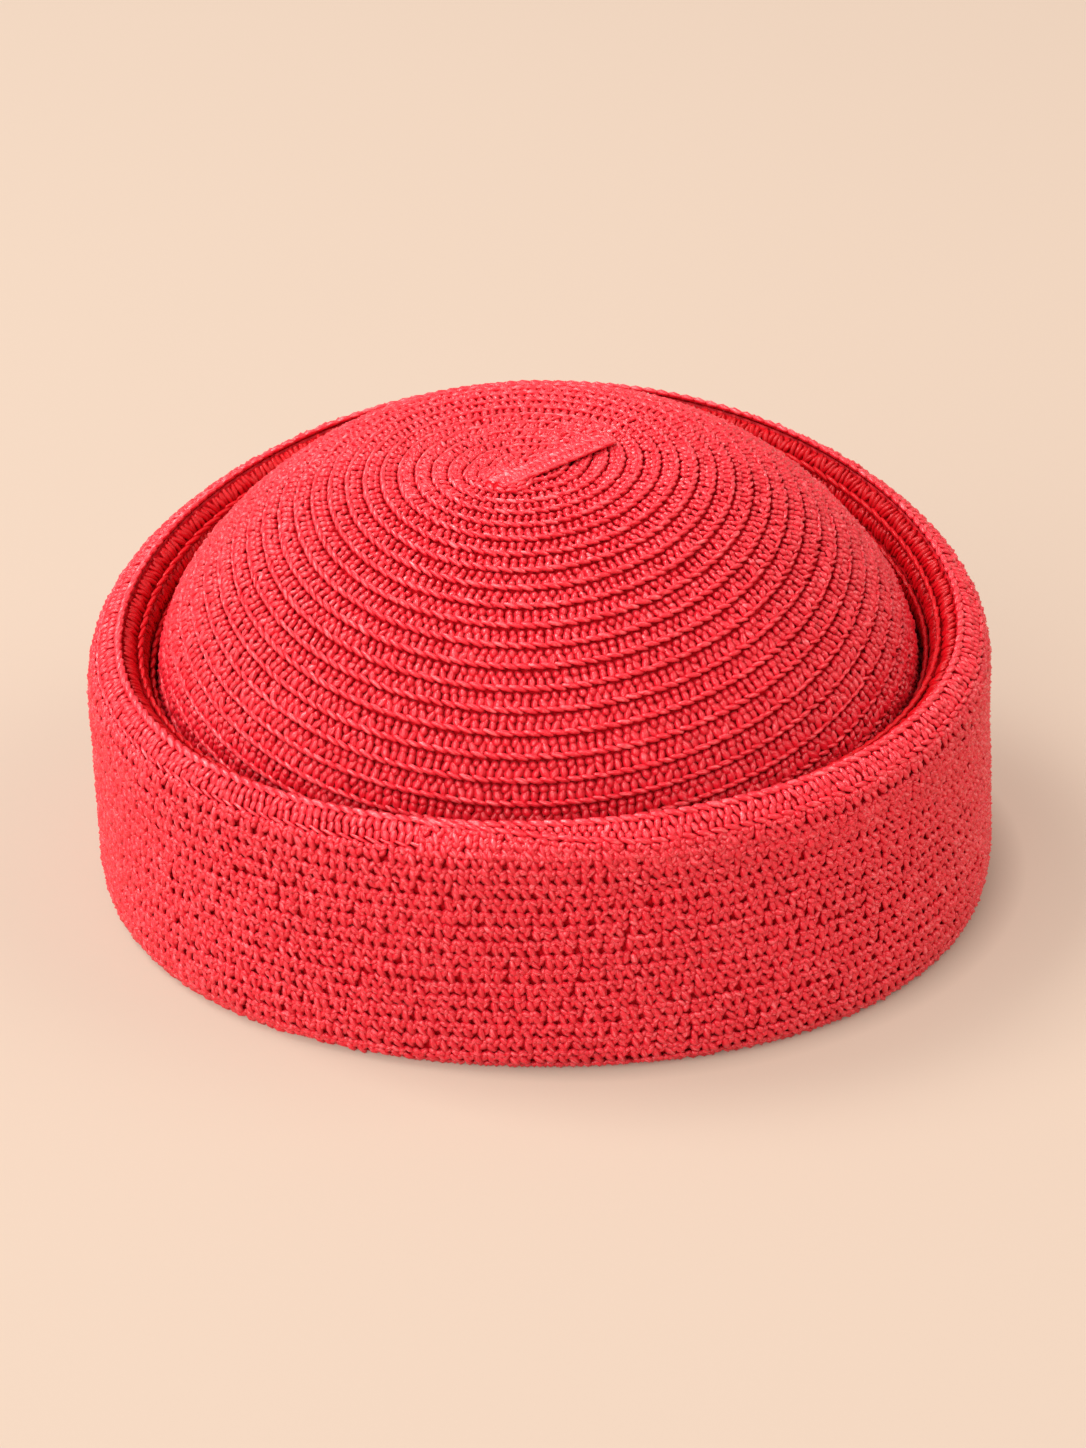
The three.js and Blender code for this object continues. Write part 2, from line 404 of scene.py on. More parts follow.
yarn = yarn_material(
    "coral_yarn", deep=(0.56, 0.001, 0.010, 1), light=(0.96, 0.012, 0.036, 1), glint_colour=(1.0, 0.25, 0.27, 1),
    gloss=0.7,
)
# Painted shade: a darker, duller copy of the yarn, for the rolled-in edge in the shade of the crest.
shaded_yarn = yarn_material(
    "shaded_yarn", deep=(0.46, 0.001, 0.004, 1), light=(0.8, 0.003, 0.012, 1), glint_colour=(0.9, 0.1, 0.12, 1),
    gloss=0.25,
)
print("yarn nodes:", len(yarn.node_tree.nodes), len(shaded_yarn.node_tree.nodes))

# %% [markdown]
# ## The ground behind the stitches
# Between the stitches one sees into the braid: deep red loops in shade. That shade is painted: the
# ground is darker than the yarn, and darker still in the hollows of its rows and loops. Inside the hat
# the back of the braid shows, in flatter rows. Grains would be lost there, so one function makes a
# material for each. Its rows come from an attribute with the distance down the cloth, and its
# stitches from the angle round the hat, which repeats without a seam.

# %% Ground material
ROW_PITCH = 3.9
STITCHES_AROUND = 150
ROW_RELIEF, LOOP_RELIEF, GRIT_RELIEF = 0.3, 0.3, 0.5
GRIT_SCALE = 700.0
GROUND_LIGHTNESS = 0.35
GROUND_ROUGHNESS, GRIT_SHINE = 0.95, 0.2


def ground_material(name, low, high):
    """Rows and loops of yarn, with painted shade: from a low colour in their hollows to a high one."""
    material, shader, tool = new_material(name)
    down = tool.make("ShaderNodeAttribute", {"attribute_name": "down"}, output=2)
    where = tool.make("ShaderNodeTexCoord", output=3)
    split = tool.make("ShaderNodeSeparateXYZ", inputs={"Vector": where})
    across = Strand(tool.tree, split.socket.node.outputs[1])
    angle = tool.maths("ARCTAN2", split, across)
    rows = tool.maths("SINE", down * (2 * math.pi / ROW_PITCH))
    loops = tool.maths("SINE", angle * STITCHES_AROUND)
    grit = tool.make("ShaderNodeTexNoise", inputs={"Vector": where, "Scale": GRIT_SCALE, "Detail": 2.0})
    height = rows * ROW_RELIEF + loops * LOOP_RELIEF + grit * GRIT_RELIEF
    shade = (height + GROUND_LIGHTNESS).held()
    colour = shade.mixed(low, high)
    bump = tool.make("ShaderNodeBump", inputs={"Strength": 0.7, "Distance": 0.001, "Height": height})
    rough = GROUND_ROUGHNESS - grit * GRIT_SHINE
    tool.tree.links.new(colour.socket, shader.inputs["Base Color"])
    tool.tree.links.new(rough.socket, shader.inputs["Roughness"])
    tool.tree.links.new(bump.socket, shader.inputs["Normal"])
    shader.inputs["Specular IOR Level"].default_value = 0.15
    return material


# Painted shade: the ground's colours, darker than the yarn, stand for the shade between the stitches.
ground = ground_material("shaded_ground", low=(0.55, 0.001, 0.006, 1), high=(0.80, 0.004, 0.014, 1))
inside = ground_material("inside_braid", low=(0.30, 0.006, 0.012, 1), high=(0.66, 0.03, 0.04, 1))
print("ground materials:", ground.name, inside.name)

# %% [markdown]
# ## The walls of the hat
# A wall is a line turned round the head. Spin does that in one step, and the moves from above then
# settle every corner. The wall gets its thickness last, when its faces already point outwards.

# %% Spun walls
WALL_STEPS = 120
LINE_SKIP = 8
WALL_THICKNESS = 1.7
WALL_SINK = 0.5
FLOOR_CLEARANCE = 0.05
MERGE_DISTANCE = 0.01


def finish_piece(piece, *nodes):
    """A new piece joins the scene, moves with the hat, and hides the plain pieces it stands for."""
    bpy.context.scene.collection.objects.link(piece)
    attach(piece, "root")
    if nodes:
        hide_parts(*nodes)


def spun_wall(name, line, shaped, side, node):
    """A closed wall from a line, sunk a little under the stitches."""
    wall = bmesh.new()
    ring = [wall.verts.new((0, -radius, height)) for radius, height in line[::LINE_SKIP]]
    edges = [wall.edges.new(pair) for pair in zip(ring, ring[1:])]
    bmesh.ops.spin(
        wall, geom=ring + edges, cent=(0, 0, 0), axis=(0, 0, 1), dvec=(0, 0, 0),
        angle=2 * math.pi, steps=WALL_STEPS, use_merge=True, use_duplicate=False,
    )
    bmesh.ops.remove_doubles(wall, verts=wall.verts, dist=MERGE_DISTANCE)
    mark = wall.verts.layers.float.new("down")
    run = np.arange(len(line)) * STEP
    flat = np.array([vertex.co for vertex in wall.verts])
    radius = np.hypot(flat[:, 0], flat[:, 1])
    gap = (radius[:, None] - line[:, 0]) ** 2 + (flat[:, 2][:, None] - line[:, 1]) ** 2
    nearest = run[gap.argmin(axis=1)]
    moved = shaped(flat[:, 0], flat[:, 1], flat[:, 2])
    for vertex, place, down in zip(wall.verts, moved, nearest):
        vertex.co = place
        vertex[mark] = down
    wall.normal_update()
    outwards = sum(face.normal.x * face.calc_center_median().x for face in wall.faces)
    if outwards * side < 0:
        bmesh.ops.reverse_faces(wall, faces=wall.faces)
    wall.normal_update()
    for vertex in wall.verts:
        vertex.co -= vertex.normal * WALL_SINK
    wall.normal_update()
    before = set(wall.faces)
    bmesh.ops.solidify(wall, geom=wall.faces[:], thickness=WALL_THICKNESS)
    for face in wall.faces:
        face.smooth = True
        face.material_index = 0 if face in before else 1
    for vertex in wall.verts:
        vertex.co.z = max(vertex.co.z, FLOOR_CLEARANCE)
        vertex.co *= MM
    mesh = bpy.data.meshes.new(name)
    wall.to_mesh(mesh)
    wall.free()
    mesh.materials.append(ground)
    mesh.materials.append(inside)
    finish_piece(bpy.data.objects.new(name, mesh), node)
    print(name, "faces:", len(mesh.polygons))


edge_end = next(i for i, point in enumerate(brim_line) if point[1] < EDGE_FOOT)
spun_wall("crown_ground", crown_line, shaped_crown, 1, "crown")
spun_wall("brim_ground", brim_line[edge_end:], shaped_brim, 1, "brim_wall")
spun_wall("edge_ground", brim_line[: edge_end + 1], shaped_brim, 1, "edge_braid")
spun_wall("facing_ground", facing_line, shaped_brim, -1, "brim_facing")

# %% [markdown]
# ## A grain of yarn
# Seen close, a crochet stitch is a few short visible stretches of yarn, each like a grain of rice
# that comes out of the cloth and dives in again. A small sphere with its poles laid along the yarn
# is that grain. Thousands are needed, so it has only a few dozen faces.

# %% Grain shape
POLE = 0.999


def grain_shape(sides, rings, bend, blunt):
    """Points and triangles of a grain one unit long, bent so that its ends dive in."""
    grain = bmesh.new()
    bmesh.ops.create_uvsphere(grain, u_segments=sides, v_segments=rings, radius=0.5)
    bmesh.ops.triangulate(grain, faces=grain.faces[:])
    poles = np.array([vertex.co for vertex in grain.verts])
    triangles = np.array([[vertex.index for vertex in face.verts] for face in grain.faces])
    grain.free()
    points = np.column_stack([poles[:, 2], poles[:, 0], poles[:, 1]])
    share = 2 * points[:, 0]
    ball = np.maximum(1 - share ** 2, 0)
    thick = ball ** (0.5 * blunt) / np.sqrt(np.maximum(ball, 1e-6))
    points[:, 1:] *= np.where(np.abs(share) < POLE, thick, 1)[:, None]
    points[:, 2] -= bend * share ** 2
    return points, triangles


leaf = grain_shape(sides=6, rings=5, bend=0.28, blunt=1.05)
slim_leaf = grain_shape(sides=5, rings=4, bend=0.30, blunt=0.95)
knot = grain_shape(sides=4, rings=4, bend=0.34, blunt=0.85)
print("grain triangles:", len(leaf[1]), len(slim_leaf[1]), len(knot[1]))

# %% [markdown]
# ## Laying stitches
# A stitch is a row in a table: where it is, how long, wide and high, how far it is turned from its
# row, which end is lifted, and its tone. A value may be one for all, or a pair: a middle, and how far
# single stitches stray from it. Each stitch could be an object of its own, but thousands of objects
# are slow, so all the grains of a piece become one joined mesh, made from arrays.

# %% Laid grains
chance = np.random.default_rng(20)
TONE_SPREAD = 0.09
NEIGHBOURS = np.full(5, 0.45)
ROOT_PAINTED_SHADE, ROOT_POWER = 0.3, 1.2
YARN_SLANT = 0.7
SEED_RANGE = 900


def around(count, spread):
    """Small differences from stitch to stitch."""
    return chance.uniform(-spread, spread, count)


def wander(count, spread):
    """Differences that neighbours share, so that a row bends softly."""
    return np.convolve(around(count, spread), NEIGHBOURS, "same")


def varied(value, count):
    """One value a stitch, from a value for all or from a middle and a spread."""
    if isinstance(value, tuple):
        middle, spread = value
        value = middle + around(count, spread)
    return np.broadcast_to(np.asarray(value, float), count).copy()


def laid(spot, length, width, height, turn, lift, tone, tilt=0.0):
    """Stitches on some spots. Sizes are in millimetres, turn and tilt in degrees."""
    count = len(spot["place"])
    values = {"length": length, "width": width, "height": height, "turn": turn, "tilt": tilt, "lift": lift}
    stitches = {name: varied(value, count) for name, value in values.items()}
    stitches["tone"] = varied(tone, count) + around(count, TONE_SPREAD)
    return {**spot, **stitches}


def gathered(lots):
    """Several lots of stitches as one."""
    return {name: np.concatenate([lot[name] for lot in lots]) for name in lots[0]}


def picked(lot, keep):
    """Only some stitches of a lot."""
    return {name: values[keep] for name, values in lot.items()}


def worked(name, grain, lot, material=yarn):
    """One joined mesh of all the stitches of a lot."""
    points, triangles = grain
    count = len(lot["length"])
    turn = np.radians(lot["turn"])[:, None]
    way = np.cos(turn) * lot["along"] + np.sin(turn) * lot["down"]
    side = np.cos(turn) * lot["down"] - np.sin(turn) * lot["along"]
    slope = np.tan(np.radians(lot["tilt"]))[:, None]
    endways = lot["length"][:, None] * points[:, 0]
    sideways = lot["width"][:, None] * points[:, 1]
    outwards = lot["lift"][:, None] + lot["height"][:, None] * points[:, 2] + slope * endways
    corners = lot["place"][:, None] + endways[..., None] * way[:, None] + sideways[..., None] * side[:, None]
    corners = corners + outwards[..., None] * lot["out"][:, None]
    corners[..., 2] = np.maximum(corners[..., 2], FLOOR_CLEARANCE)
    faces = triangles[None] + (np.arange(count) * len(points))[:, None, None]
    mesh = bpy.data.meshes.new(name)
    mesh.vertices.add(count * len(points))
    mesh.vertices.foreach_set("co", (corners * MM).ravel())
    mesh.loops.add(faces.size)
    mesh.loops.foreach_set("vertex_index", faces.ravel().astype(np.int32))
    mesh.polygons.add(faces.size // 3)
    mesh.polygons.foreach_set("loop_start", np.arange(0, faces.size, 3, dtype=np.int32))
    mesh.update(calc_edges=True)
    mesh.shade_smooth()
    # Painted shade: each grain's tone darkens towards its root, where it dives into the cloth.
    depth = 0.5 - points[:, 2] / (points[:, 2].max() - points[:, 2].min())
    tones = lot["tone"][:, None] - ROOT_PAINTED_SHADE * np.clip(depth, 0, 1) ** ROOT_POWER
    mesh.attributes.new("tone", "FLOAT", "POINT").data.foreach_set("value", tones.ravel())
    seed = np.broadcast_to(chance.uniform(0, SEED_RANGE, count)[:, None], endways.shape)
    yarns = np.stack([endways, sideways + YARN_SLANT * outwards, seed], axis=-1)
    mesh.attributes.new("yarn", "FLOAT_VECTOR", "POINT").data.foreach_set("vector", yarns.ravel())
    mesh.materials.append(material)
    finish_piece(bpy.data.objects.new(name, mesh))
    print(name, "stitches:", count, "triangles:", faces.size // 3)


print("seeded chance ready")

# %% [markdown]
# ## Rows
# A row is a line round the hat with stitches at equal distances. On the crown and the brim's wall
# the line is one long spiral. At the brim's edge a plain ring is enough. Both are measured along
# the cloth, so that a stitch keeps its real size wherever the row goes.

# %% Stitches along a row
ROW_DETAIL = 0.008


def along_row(skin, row_down, start, end, spacing, shift=0.0):
    """Distances down and angles at equal gaps along a row."""
    angle = np.linspace(start, end, max(int(abs(end - start) / ROW_DETAIL), 3))
    place = skin.spot(row_down(angle), angle)["place"]
    run = np.concatenate([[0], np.cumsum(np.linalg.norm(np.diff(place, axis=0), axis=1))])
    count = max(int(round(run[-1] / spacing)), 1)
    at = np.interp((np.arange(count) + shift) * run[-1] / count, run, angle)
    return row_down(at), at


def ring(skin, down, spacing, shift=0.0):
    """Distances down and angles at equal gaps all round the hat, on one level."""
    return along_row(skin, lambda angle: np.full(angle.shape, float(down)), 0, 2 * np.pi, spacing, shift)


print("rows ready")

# %% [markdown]
# ## The crown's spiral
# The crown is one braid, wound outwards from its start on the top. Rings would be simpler, but the
# real rows never close, so one long spiral is used. Each turn shows a little more of the braid than
# the one before it, because the first turns are sewn closer. Low on the sides and at the back the
# stitches lie less evenly. Those that the brim hides are left out.

# %% Crown spiral
ROWS_START, FIRST_WIDTH, WIDTH_GROWTH = 5.6, 4.1, 0.043
SPIRAL_START, SPIRAL_END = -2 * np.pi * 1.2, 2 * np.pi * 26.5
WILD_FROM_LEFT, WILD_FROM_RIGHT, WILD_BLEND = math.radians(45), math.radians(30), 0.6
WILD_START, WILD_DEPTH = 42, 28
HIDDEN_BELOW = 42


def spiral(angle):
    """Millimetres from the first row, along the spiral of the braid."""
    turns = angle / (2 * np.pi)
    return ROWS_START + FIRST_WIDTH * turns + WIDTH_GROWTH * turns ** 2


def shown_width(angle):
    """Millimetres of the braid that show in a turn."""
    return FIRST_WIDTH + 2 * WIDTH_GROWTH * angle / (2 * np.pi)


def wildness(downs, angles):
    """From 0, clear rows, to 1, less even ones: low on the sides and at the back."""
    side = np.mod(angles + np.pi, 2 * np.pi) - np.pi
    start = np.where(side > 0, WILD_FROM_RIGHT, WILD_FROM_LEFT)
    aside = np.clip((np.abs(side) - start) / WILD_BLEND, 0, 1)
    return aside * np.clip((downs - WILD_START) / WILD_DEPTH, 0, 1)


def above_gutter(lot):
    """The stitches that can be seen over the brim."""
    return picked(lot, lot["place"][:, 2] > HIDDEN_BELOW)


print("crown turns:", round((SPIRAL_END - SPIRAL_START) / (2 * np.pi), 1))

# %% [markdown]
# ## The crown's braid
# Each row of the crown's braid has a twisted cord along its lower edge, which stands over the next
# row, and two short courses of stitches above the cord. The cord's strands slant one way and tuck
# under each other. The stitches lean in pairs and lift towards the cord, so that rows overlap like
# tiles. Grains of one even size would look like a machine's knit, so every value strays a little.

# %% Crown rows
CORD_SPACING, CORD_UP = 3.2, 0.8
LOWER_START, LOWER_DEPTH = 12, 45
COURSES = [
    {"name": "crown_uprights", "middle": 0.42, "share": 0.80, "lean": 13, "spacing": 2.2, "tone": 0.75},
    {"name": "crown_backs", "middle": 0.76, "share": 0.46, "lean": -20, "spacing": 2.3, "tone": 0.70},
]

downs, angles = along_row(crown_skin, spiral, SPIRAL_START, SPIRAL_END, CORD_SPACING)
lower = np.clip((downs - LOWER_START) / LOWER_DEPTH, 0, 1)
wild = wildness(downs, angles)
cords = laid(
    crown_skin.spot(downs - CORD_UP, angles),
    length=(5.0, 0.4),
    width=((1.2 + 0.2 * lower) * (1 - 0.25 * wild), 0.15),
    height=1.4 + 0.3 * lower,
    turn=(12 + 3 * lower, 4 + 14 * wild),
    tilt=-6,
    lift=(0.85 + 0.25 * lower - 0.45 * wild, 0.1),
    tone=0.84 - 0.04 * wild,
)
worked("crown_cords", slim_leaf, above_gutter(cords))

for course in COURSES:
    downs, angles = along_row(crown_skin, spiral, SPIRAL_START, SPIRAL_END, course["spacing"])
    wide = shown_width(angles)
    leaning = np.where(np.arange(len(angles)) % 2, course["lean"], -course["lean"])
    stitches = laid(
        crown_skin.spot(downs - course["middle"] * wide, angles),
        length=(course["share"] * wide, 0.5),
        width=(0.40 * wide, 0.4),
        height=(1.7, 0.3),
        turn=(90 + leaning, 19 + 20 * wildness(downs, angles)),
        tilt=(6, 8),
        lift=(0.55, 0.28),
        tone=course["tone"],
    )
    worked(course["name"], knot, above_gutter(stitches))

# %% [markdown]
# ## The start of the braid
# On the top, the braid begins with a short straight piece. Its front edge is a raised lip with a
# dark slit under it. Stitches alone would follow the round dome there, so a flat bar under them
# keeps the lip up.

# %% Strip bar
STRIP_WIDTH = 6.6
STRIP_SLOPE = 0.02
STRIP_SIDEWAYS, STRIP_FORWARD, STRIP_HEIGHT = 2.5, 15, 119.0
BAR_SIZE, BAR_ROUNDING = (38, 5.2, 1.2), 0.5
STRIP_PLACE = np.array([FOLD_CENTRE - LEAN + STRIP_SIDEWAYS, -STRIP_FORWARD, STRIP_HEIGHT])
strip_way = np.array([math.cos(STRIP_TURN), math.sin(STRIP_TURN), 0])
strip_front = np.array([math.sin(STRIP_TURN), -math.cos(STRIP_TURN), 0])

bar = bmesh.new()
bmesh.ops.create_cube(bar, size=1)
bmesh.ops.scale(bar, vec=BAR_SIZE, verts=bar.verts)
bmesh.ops.translate(bar, vec=(0, 0, BAR_SIZE[2] / 2), verts=bar.verts)
bmesh.ops.bevel(
    bar, geom=bar.edges[:], offset=BAR_ROUNDING, offset_type="OFFSET", segments=2, profile=0.5,
    affect="EDGES", material=-1,
)
mark = bar.verts.layers.float.new("down")
for vertex in bar.verts:
    x, y, z = vertex.co
    vertex[mark] = y
    vertex.co = (STRIP_PLACE + x * strip_way - y * strip_front + np.array([0, 0, z + STRIP_SLOPE * x])) * MM
for face in bar.faces:
    face.smooth = True
bmesh.ops.recalc_face_normals(bar, faces=bar.faces)
mesh = bpy.data.meshes.new("strip_ground")
bar.to_mesh(mesh)
bar.free()
mesh.materials.append(ground)
finish_piece(bpy.data.objects.new("strip_ground", mesh), "crown_tip")
print("strip_ground faces:", len(mesh.polygons))

# %% [markdown]
# ## The strip's stitches
# The stitches lie across the strip in two rows that lean against each other. The lip is one more
# row, laid lengthways, and at the strip's left end the yarn coils round itself. The crown's skin
# could carry them, but the strip is straight and nearly flat, so plain steps along it are enough.

# %% Strip stitches
STRIP_STEPS = np.arange(-17, 19, 1.7)
LIP_STEPS, LIP_FORWARD, LIP_ABOVE = np.arange(-15, 18, 3.2), 2.9, 1.15
STRIP_ROWS = [
    {"on": 0.0, "forward": -1.7, "above": 0.9, "length": 4.4, "turn": 58, "lift": 0.1, "tone": 0.78},
    {"on": 0.8, "forward": 1.2, "above": 1.1, "length": 4.0, "turn": 112, "lift": 0.15, "tone": 0.8},
]
COIL_CENTRE, COIL_ABOVE, COIL_FALL = -13.5, 1.1, 0.12
COIL_GAP, COIL_TURN = 0.2, 102
COILS = [
    {"radius": 1.1, "spacing": 2.0}, {"radius": 2.6, "spacing": 2.4},
    {"radius": 4.1, "spacing": 2.8}, {"radius": 5.6, "spacing": 3.0},
]


def strip_spot(along, forward, above):
    """Spots on the strip, from the middle of it."""
    along, forward, above = np.broadcast_arrays(along, forward, above)
    place = STRIP_PLACE + along[:, None] * strip_way + forward[:, None] * strip_front
    place[:, 2] += above + STRIP_SLOPE * along
    count = len(along)
    return {
        "place": place, "along": np.tile(strip_way, (count, 1)), "down": np.tile(strip_front, (count, 1)),
        "out": np.tile([0.0, 0.0, 1.0], (count, 1)),
    }


lots = []
for row in STRIP_ROWS:
    lots.append(laid(
        strip_spot(STRIP_STEPS + row["on"], row["forward"], row["above"]),
        length=row["length"], width=1.8, height=1.4, turn=(row["turn"], 14), lift=row["lift"],
        tone=row["tone"],
    ))
lots.append(laid(
    strip_spot(LIP_STEPS, LIP_FORWARD, LIP_ABOVE),
    length=5.6, width=1.5, height=1.5, turn=(6, 3), lift=0.1, tone=0.88,
))
for coil in COILS:
    radius = coil["radius"]
    angles = np.arange(0, 2 * np.pi - COIL_GAP, coil["spacing"] / radius)
    along = COIL_CENTRE + radius * np.cos(angles)
    lots.append(laid(
        strip_spot(along, radius * np.sin(angles), COIL_ABOVE - COIL_FALL * radius),
        length=3.6, width=1.4, height=1.4, turn=np.degrees(angles) + COIL_TURN, lift=0.2, tone=0.86,
    ))
worked("strip_stitches", leaf, gathered(lots))

# %% [markdown]
# ## The first turns behind the strip
# Behind the strip the first turns are sewn so close that the gaps between their stitches don't show.
# Closer rows would need their own spiral. Slanting strands over these few turns close the gaps too.

# %% Crown strands
CLOSED_TURNS = 6
STRAND_SPACING = 2.8

downs, angles = along_row(crown_skin, spiral, SPIRAL_START, CLOSED_TURNS * 2 * np.pi, STRAND_SPACING)
wide = shown_width(angles)
strands = laid(
    crown_skin.spot(downs - 0.5 * wide + around(len(angles), 0.5), angles),
    length=0.95 * wide, width=1.5, height=1.5, turn=(128, 16), lift=(0.75, 0.2), tone=(0.76, 0.1),
)
behind = (strands["place"] - STRIP_PLACE) @ strip_front < -STRIP_WIDTH / 2
worked("crown_strands", slim_leaf, picked(strands, behind))

# %% [markdown]
# ## The brim's edge
# The crest of the brim carries a thin smooth cord. Under it lies a band of tight upright strands,
# closed below by a chain. The chain is the end of the braid: it starts at the crest, at the front
# left, and sinks to the foot of the band within a hand's width. A swept curve would give smooth
# cords, but single strands also show how they are twisted.

# %% Edge band
CHAIN_START, CHAIN_DOWN, CHAIN_END = math.radians(-14), math.radians(18), math.radians(347)
JUST_PAST = 0.001
BAND_WIDTH, BAND_START_WIDTH = 6.2, 0.7
CREST_DOWN, CREST_SPACING = 0.2, 3.6
BAND_TOP, BAND_SPACING, BAND_MARGIN = 1, 1.95, 0.4
NARROWEST_SHOWN, SHORTEST_STRAND = 2.0, 0.5
BAND_COURSES = [{"middle": 0.34, "share": 0.66}, {"middle": 0.72, "share": 0.60}]
CHAIN_SPACING, CHAIN_MARGIN = 3.7, 0.3
FADE_LENGTH, MOST_FADED = 1.6, 0.6


def band_width(angle):
    """Width of the band under the crest: it starts at next to nothing, where the braid ends."""
    turn = np.mod(angle - CHAIN_START, 2 * np.pi)
    share = np.clip(turn / (CHAIN_DOWN - CHAIN_START), 0, 1)
    return BAND_START_WIDTH + (BAND_WIDTH - BAND_START_WIDTH) * eased(share)


crest = laid(
    brim_skin.spot(*ring(brim_skin, CREST_DOWN, CREST_SPACING)),
    length=(5.8, 0.5), width=2.0, height=1.7, turn=(16, 4), tilt=-5, lift=0.7, tone=0.86,
)
strands = []
for course in BAND_COURSES:
    angles = ring(brim_skin, BAND_TOP, BAND_SPACING, course["middle"])[1]
    wide = band_width(angles)
    strand = laid(
        brim_skin.spot(BAND_MARGIN + course["middle"] * wide, angles),
        length=(np.maximum(course["share"] * wide, SHORTEST_STRAND), 0.5),
        width=(2.0, 0.35),
        height=(1.5, 0.25),
        turn=(86, 24),
        tilt=(0, 8),
        lift=(0.4, 0.28),
        tone=0.77,
    )
    strands.append(picked(strand, wide > NARROWEST_SHOWN))
downs, angles = along_row(brim_skin, band_width, CHAIN_START + JUST_PAST, CHAIN_END, CHAIN_SPACING)
fading = np.clip((CHAIN_END - angles) / FADE_LENGTH, MOST_FADED, 1)
chain = laid(
    brim_skin.spot(downs + CHAIN_MARGIN, angles),
    length=(5.6, 0.5), width=1.6 * fading, height=1.5, turn=(16, 5), tilt=-8, lift=0.65 * fading, tone=0.84,
)
worked("edge_stitches", slim_leaf, gathered([crest, chain] + strands))

# %% [markdown]
# ## The brim's close stitches
# Below the edge the brim is worked in close single crochet: each stitch is two legs that lean on
# each other, with two short loops over them. Small dark holes stay open between the rows. A woven
# bump would lie flat at the outline, so these are real grains too. The rows are one long spiral: its
# first turn follows the chain, and each later turn starts where the one above it ends. Near the floor
# the grains lie flatter, because the fold presses on them. The brim is cut into four pieces to keep
# each mesh small.

# %% Brim rows
UNDER_CHAIN = 2.5
BRIM_START = BAND_WIDTH + UNDER_CHAIN
CELL = 2.9
SETTLE_DEPTH = 45
WEDGE_REACH = 0.33
FREE_EDGE_MARGIN = 1.5
LOW_HEIGHT, LOW_FLATTENED, LOW_SUNK = 6, 0.6, 0.7
HALF_TURN = 180
GRAINS = [
    {"on": -0.55, "under": 1.10, "length": 4.2, "width": 2.05, "turn": 62, "lift": 0.60, "tone": 0.79},
    {"on": 0.75, "under": 0.30, "length": 3.2, "width": 2.05, "turn": 120, "lift": 0.45, "tone": 0.76},
    {"on": -0.30, "under": -0.95, "length": 3.0, "width": 1.85, "turn": 35, "lift": 0.72, "tone": 0.84},
    {"on": 1.05, "under": -0.85, "length": 2.7, "width": 1.75, "turn": -42, "lift": 0.58, "tone": 0.80},
]
QUARTERS = ["front_right", "back_right", "back_left", "front_left"]


def brim_spiral(angle):
    """Millimetres down from the crest. Each turn starts where the turn above it ends."""
    turns, turn = np.divmod(angle - CHAIN_START, 2 * np.pi)
    depth = BRIM_START + turns * ROW_PITCH
    first = band_width(angle) + UNDER_CHAIN
    quick = CHAIN_DOWN - CHAIN_START
    settle = quick + (2 * np.pi - quick) * np.clip((depth - BRIM_START) / SETTLE_DEPTH, 0, 1)
    share = np.clip(turn / settle, 0, 1)
    return np.where(turns < 1, first, depth - ROW_PITCH * (1 - eased(share)))


def wedge_row(angle):
    """A short row that fills the wedge under the start of the chain."""
    return (brim_spiral(angle) + brim_spiral(angle + 2 * np.pi)) / 2


def close_stitches(downs, angles):
    """All the grains of some close stitches, kind by kind."""
    last = np.interp(np.mod(angles, 2 * np.pi), ANGLES, brim_skin.reach) - FREE_EDGE_MARGIN
    downs, angles = downs[downs < last], angles[downs < last]
    spot = brim_skin.spot(downs, angles)
    count = len(angles)
    sway = around(count, 0.4)
    drop = wander(count, 0.22)
    low = np.clip(1 - spot["place"][:, 2] / LOW_HEIGHT, 0, 1)
    raised = 1 - LOW_SUNK * low
    lots = []
    for grain in GRAINS:
        on = (grain["on"] + sway + around(count, 0.3))[:, None]
        under = (grain["under"] + drop + around(count, 0.25))[:, None]
        moved = {**spot, "place": spot["place"] + on * spot["along"] + under * spot["down"]}
        flat = HALF_TURN * round(grain["turn"] / HALF_TURN)
        lot = laid(
            moved,
            length=(grain["length"], 0.45),
            width=(grain["width"], 0.3),
            height=(1.6, 0.3),
            turn=(grain["turn"] + LOW_FLATTENED * low * (flat - grain["turn"]), 18),
            tilt=(0, 9),
            lift=(raised * grain["lift"], raised * 0.24),
            tone=grain["tone"],
        )
        lot["angle"] = np.mod(angles, 2 * np.pi)
        lots.append(lot)
    return lots


brim_turns = int((brim_skin.reach.max() - BRIM_START) / ROW_PITCH) + 2
rows = along_row(brim_skin, brim_spiral, CHAIN_START, CHAIN_START + 2 * np.pi * brim_turns, CELL)
wedge = along_row(brim_skin, wedge_row, CHAIN_START, CHAIN_START + WEDGE_REACH, CELL)
brim_stitches = gathered(close_stitches(*rows) + close_stitches(*wedge))
for index, quarter in enumerate(QUARTERS):
    share = np.floor(brim_stitches["angle"] / (np.pi / 2)) == index
    worked("brim_stitches_" + quarter, knot, picked(brim_stitches, share))

# %% [markdown]
# ## The rolled-in edge
# Inside the crest the braid rolls in and down in three bands of strands, with a cord between each
# two of them. They are in shade, so longer strands with fewer differences are enough. Their low
# tones on the darker yarn are painted shade.

# %% Facing rows
FACING_BANDS = [
    {"down": 3.0, "length": 5.2, "spacing": 1.5},
    {"down": 9.0, "length": 4.8, "spacing": 1.5},
    {"down": 15.2, "length": 5.4, "spacing": 1.7},
]
FACING_CORDS, FACING_CORD_SPACING = (6.2, 12.0), 4.6

